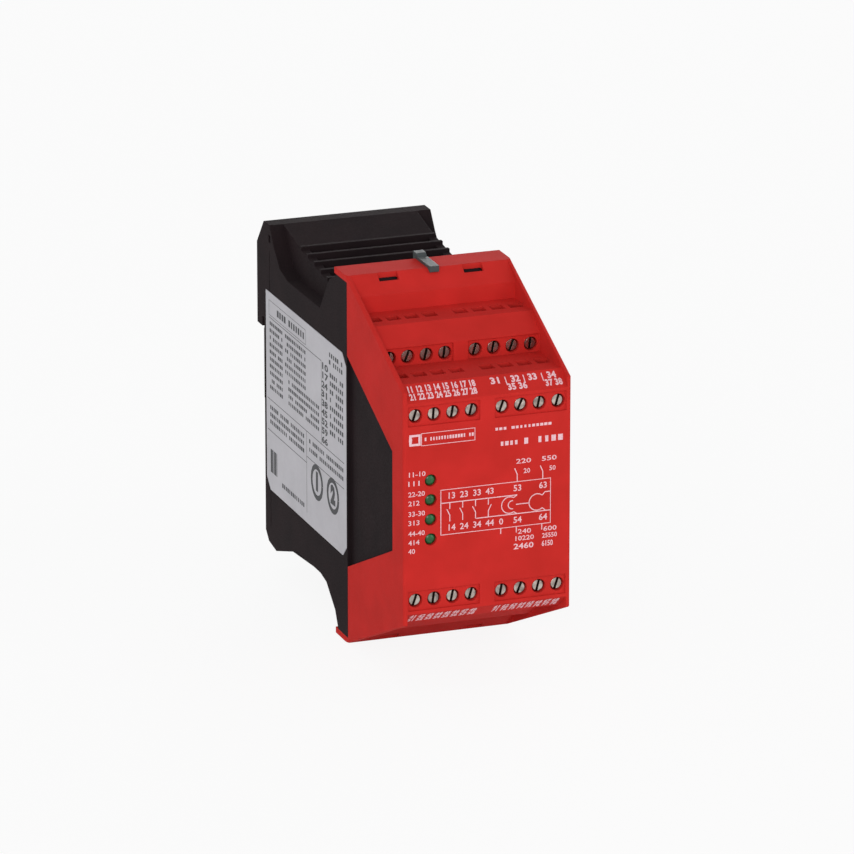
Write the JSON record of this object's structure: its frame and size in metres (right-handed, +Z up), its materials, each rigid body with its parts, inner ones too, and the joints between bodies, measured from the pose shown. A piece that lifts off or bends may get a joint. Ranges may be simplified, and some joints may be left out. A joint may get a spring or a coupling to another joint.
{
  "type": "safety relay",
  "caption": "Rail-mounted safety relay module: stepped red terminal cover with clamp screws and status lights on a dark, vented rear housing with a sprung rail latch.",
  "frame": {"origin": "middle of the seat face that lies on the mounting rail, at the rail's centre line", "axes": "+X across the width, to the right seen from the front; +Y from the front face towards the rail; +Z up"},
  "size_m": [0.045, 0.114, 0.1006],
  "materials": {
    "red_cover_plastic": "fine satin moulding",
    "black_housing_plastic": "spark-eroded moulding",
    "pale_label_film": "printed polyester film",
    "grey_catch_plastic": "satin moulding",
    "black_latch_plastic": "satin moulding",
    "spring_steel": "drawn wire",
    "dark_strip_plastic": "moulded",
    "zinc_plated_steel": "zinc plated",
    "tinned_brass": "tinned",
    "green_board": "solder resist",
    "green_lens": "diffuse tinted lens",
    "relay_case": "moulded case",
    "transformer_potting": "cast resin",
    "capacitor_sleeve": "shrink sleeve",
    "header_plastic": "moulded"
  },
  "bodies": {
    "module": {"front_cover": "red_cover_plastic", "rear_housing": "black_housing_plastic", "side_label": "pale_label_film", "cover_catch": "grey_catch_plastic", "latch_spring": "spring_steel", "terminal_strip_upper_front": "dark_strip_plastic", "terminal_strip_upper_rear": "dark_strip_plastic", "terminal_strip_lower_front": "dark_strip_plastic", "terminal_strip_lower_rear": "dark_strip_plastic", "clamp_cages_upper_front": "zinc_plated_steel", "clamp_cages_upper_rear": "zinc_plated_steel", "clamp_cages_lower_front": "zinc_plated_steel", "clamp_cages_lower_rear": "zinc_plated_steel", "contact_bars_upper": "tinned_brass", "contact_bars_lower": "tinned_brass", "terminal_board_upper": "green_board", "terminal_board_lower": "green_board", "logic_board": "green_board", "status_led_1": "green_lens", "status_led_2": "green_lens", "status_led_3": "green_lens", "status_led_4": "green_lens", "safety_relay_1": "relay_case", "safety_relay_2": "relay_case", "supply_transformer": "transformer_potting", "smoothing_capacitor": "capacitor_sleeve", "board_headers": "header_plastic"},
    "latch": {"rail_latch": "black_latch_plastic"},
    "screw_upper_front_1_body": {"screw_upper_front_1": "zinc_plated_steel"},
    "screw_upper_front_2_body": {"screw_upper_front_2": "zinc_plated_steel"},
    "screw_upper_front_3_body": {"screw_upper_front_3": "zinc_plated_steel"},
    "screw_upper_front_4_body": {"screw_upper_front_4": "zinc_plated_steel"},
    "screw_upper_front_5_body": {"screw_upper_front_5": "zinc_plated_steel"},
    "screw_upper_front_6_body": {"screw_upper_front_6": "zinc_plated_steel"},
    "screw_upper_front_7_body": {"screw_upper_front_7": "zinc_plated_steel"},
    "screw_upper_front_8_body": {"screw_upper_front_8": "zinc_plated_steel"},
    "screw_upper_rear_1_body": {"screw_upper_rear_1": "zinc_plated_steel"},
    "screw_upper_rear_2_body": {"screw_upper_rear_2": "zinc_plated_steel"},
    "screw_upper_rear_3_body": {"screw_upper_rear_3": "zinc_plated_steel"},
    "screw_upper_rear_4_body": {"screw_upper_rear_4": "zinc_plated_steel"},
    "screw_upper_rear_5_body": {"screw_upper_rear_5": "zinc_plated_steel"},
    "screw_upper_rear_6_body": {"screw_upper_rear_6": "zinc_plated_steel"},
    "screw_upper_rear_7_body": {"screw_upper_rear_7": "zinc_plated_steel"},
    "screw_upper_rear_8_body": {"screw_upper_rear_8": "zinc_plated_steel"},
    "screw_lower_front_1_body": {"screw_lower_front_1": "zinc_plated_steel"},
    "screw_lower_front_2_body": {"screw_lower_front_2": "zinc_plated_steel"},
    "screw_lower_front_3_body": {"screw_lower_front_3": "zinc_plated_steel"},
    "screw_lower_front_4_body": {"screw_lower_front_4": "zinc_plated_steel"},
    "screw_lower_front_5_body": {"screw_lower_front_5": "zinc_plated_steel"},
    "screw_lower_front_6_body": {"screw_lower_front_6": "zinc_plated_steel"},
    "screw_lower_front_7_body": {"screw_lower_front_7": "zinc_plated_steel"},
    "screw_lower_front_8_body": {"screw_lower_front_8": "zinc_plated_steel"},
    "screw_lower_rear_1_body": {"screw_lower_rear_1": "zinc_plated_steel"},
    "screw_lower_rear_2_body": {"screw_lower_rear_2": "zinc_plated_steel"},
    "screw_lower_rear_3_body": {"screw_lower_rear_3": "zinc_plated_steel"},
    "screw_lower_rear_4_body": {"screw_lower_rear_4": "zinc_plated_steel"},
    "screw_lower_rear_5_body": {"screw_lower_rear_5": "zinc_plated_steel"},
    "screw_lower_rear_6_body": {"screw_lower_rear_6": "zinc_plated_steel"},
    "screw_lower_rear_7_body": {"screw_lower_rear_7": "zinc_plated_steel"},
    "screw_lower_rear_8_body": {"screw_lower_rear_8": "zinc_plated_steel"}
  },
  "joints": [
    {"name": "rail_latch_slide", "type": "slide", "parent": "module", "child": "latch", "axis": [0, 0, -1], "range_m": [0, 0.003], "stiffness_N_per_m": 1500, "springref_m": -0.002, "deforming": ["latch_spring"]},
    {"name": "screw_upper_front_1_turn", "type": "hinge", "parent": "module", "child": "screw_upper_front_1_body", "pos_m": [-0.0191, -0.1074, 0.0221], "axis": [0, 1, 0], "range_deg": [0, 1260]},
    {"name": "screw_upper_front_2_turn", "type": "hinge", "parent": "module", "child": "screw_upper_front_2_body", "pos_m": [-0.0141, -0.1074, 0.0221], "axis": [0, 1, 0], "range_deg": [0, 1260]},
    {"name": "screw_upper_front_3_turn", "type": "hinge", "parent": "module", "child": "screw_upper_front_3_body", "pos_m": [-0.0091, -0.1074, 0.0221], "axis": [0, 1, 0], "range_deg": [0, 1260]},
    {"name": "screw_upper_front_4_turn", "type": "hinge", "parent": "module", "child": "screw_upper_front_4_body", "pos_m": [-0.0041, -0.1074, 0.0221], "axis": [0, 1, 0], "range_deg": [0, 1260]},
    {"name": "screw_upper_front_5_turn", "type": "hinge", "parent": "module", "child": "screw_upper_front_5_body", "pos_m": [0.0041, -0.1074, 0.0221], "axis": [0, 1, 0], "range_deg": [0, 1260]},
    {"name": "screw_upper_front_6_turn", "type": "hinge", "parent": "module", "child": "screw_upper_front_6_body", "pos_m": [0.0091, -0.1074, 0.0221], "axis": [0, 1, 0], "range_deg": [0, 1260]},
    {"name": "screw_upper_front_7_turn", "type": "hinge", "parent": "module", "child": "screw_upper_front_7_body", "pos_m": [0.0141, -0.1074, 0.0221], "axis": [0, 1, 0], "range_deg": [0, 1260]},
    {"name": "screw_upper_front_8_turn", "type": "hinge", "parent": "module", "child": "screw_upper_front_8_body", "pos_m": [0.0191, -0.1074, 0.0221], "axis": [0, 1, 0], "range_deg": [0, 1260]},
    {"name": "screw_upper_rear_1_turn", "type": "hinge", "parent": "module", "child": "screw_upper_rear_1_body", "pos_m": [-0.0191, -0.0879, 0.0315], "axis": [0, 1, 0], "range_deg": [0, 1260]},
    {"name": "screw_upper_rear_2_turn", "type": "hinge", "parent": "module", "child": "screw_upper_rear_2_body", "pos_m": [-0.0141, -0.0879, 0.0315], "axis": [0, 1, 0], "range_deg": [0, 1260]},
    {"name": "screw_upper_rear_3_turn", "type": "hinge", "parent": "module", "child": "screw_upper_rear_3_body", "pos_m": [-0.0091, -0.0879, 0.0315], "axis": [0, 1, 0], "range_deg": [0, 1260]},
    {"name": "screw_upper_rear_4_turn", "type": "hinge", "parent": "module", "child": "screw_upper_rear_4_body", "pos_m": [-0.0041, -0.0879, 0.0315], "axis": [0, 1, 0], "range_deg": [0, 1260]},
    {"name": "screw_upper_rear_5_turn", "type": "hinge", "parent": "module", "child": "screw_upper_rear_5_body", "pos_m": [0.0041, -0.0879, 0.0315], "axis": [0, 1, 0], "range_deg": [0, 1260]},
    {"name": "screw_upper_rear_6_turn", "type": "hinge", "parent": "module", "child": "screw_upper_rear_6_body", "pos_m": [0.0091, -0.0879, 0.0315], "axis": [0, 1, 0], "range_deg": [0, 1260]},
    {"name": "screw_upper_rear_7_turn", "type": "hinge", "parent": "module", "child": "screw_upper_rear_7_body", "pos_m": [0.0141, -0.0879, 0.0315], "axis": [0, 1, 0], "range_deg": [0, 1260]},
    {"name": "screw_upper_rear_8_turn", "type": "hinge", "parent": "module", "child": "screw_upper_rear_8_body", "pos_m": [0.0191, -0.0879, 0.0315], "axis": [0, 1, 0], "range_deg": [0, 1260]},
    {"name": "screw_lower_front_1_turn", "type": "hinge", "parent": "module", "child": "screw_lower_front_1_body", "pos_m": [-0.0191, -0.1074, -0.0267], "axis": [0, 1, 0], "range_deg": [0, 1260]},
    {"name": "screw_lower_front_2_turn", "type": "hinge", "parent": "module", "child": "screw_lower_front_2_body", "pos_m": [-0.0141, -0.1074, -0.0267], "axis": [0, 1, 0], "range_deg": [0, 1260]},
    {"name": "screw_lower_front_3_turn", "type": "hinge", "parent": "module", "child": "screw_lower_front_3_body", "pos_m": [-0.0091, -0.1074, -0.0267], "axis": [0, 1, 0], "range_deg": [0, 1260]},
    {"name": "screw_lower_front_4_turn", "type": "hinge", "parent": "module", "child": "screw_lower_front_4_body", "pos_m": [-0.0041, -0.1074, -0.0267], "axis": [0, 1, 0], "range_deg": [0, 1260]},
    {"name": "screw_lower_front_5_turn", "type": "hinge", "parent": "module", "child": "screw_lower_front_5_body", "pos_m": [0.0041, -0.1074, -0.0267], "axis": [0, 1, 0], "range_deg": [0, 1260]},
    {"name": "screw_lower_front_6_turn", "type": "hinge", "parent": "module", "child": "screw_lower_front_6_body", "pos_m": [0.0091, -0.1074, -0.0267], "axis": [0, 1, 0], "range_deg": [0, 1260]},
    {"name": "screw_lower_front_7_turn", "type": "hinge", "parent": "module", "child": "screw_lower_front_7_body", "pos_m": [0.0141, -0.1074, -0.0267], "axis": [0, 1, 0], "range_deg": [0, 1260]},
    {"name": "screw_lower_front_8_turn", "type": "hinge", "parent": "module", "child": "screw_lower_front_8_body", "pos_m": [0.0191, -0.1074, -0.0267], "axis": [0, 1, 0], "range_deg": [0, 1260]},
    {"name": "screw_lower_rear_1_turn", "type": "hinge", "parent": "module", "child": "screw_lower_rear_1_body", "pos_m": [-0.0191, -0.0879, -0.0361], "axis": [0, 1, 0], "range_deg": [0, 1260]},
    {"name": "screw_lower_rear_2_turn", "type": "hinge", "parent": "module", "child": "screw_lower_rear_2_body", "pos_m": [-0.0141, -0.0879, -0.0361], "axis": [0, 1, 0], "range_deg": [0, 1260]},
    {"name": "screw_lower_rear_3_turn", "type": "hinge", "parent": "module", "child": "screw_lower_rear_3_body", "pos_m": [-0.0091, -0.0879, -0.0361], "axis": [0, 1, 0], "range_deg": [0, 1260]},
    {"name": "screw_lower_rear_4_turn", "type": "hinge", "parent": "module", "child": "screw_lower_rear_4_body", "pos_m": [-0.0041, -0.0879, -0.0361], "axis": [0, 1, 0], "range_deg": [0, 1260]},
    {"name": "screw_lower_rear_5_turn", "type": "hinge", "parent": "module", "child": "screw_lower_rear_5_body", "pos_m": [0.0041, -0.0879, -0.0361], "axis": [0, 1, 0], "range_deg": [0, 1260]},
    {"name": "screw_lower_rear_6_turn", "type": "hinge", "parent": "module", "child": "screw_lower_rear_6_body", "pos_m": [0.0091, -0.0879, -0.0361], "axis": [0, 1, 0], "range_deg": [0, 1260]},
    {"name": "screw_lower_rear_7_turn", "type": "hinge", "parent": "module", "child": "screw_lower_rear_7_body", "pos_m": [0.0141, -0.0879, -0.0361], "axis": [0, 1, 0], "range_deg": [0, 1260]},
    {"name": "screw_lower_rear_8_turn", "type": "hinge", "parent": "module", "child": "screw_lower_rear_8_body", "pos_m": [0.0191, -0.0879, -0.0361], "axis": [0, 1, 0], "range_deg": [0, 1260]}
  ]
}
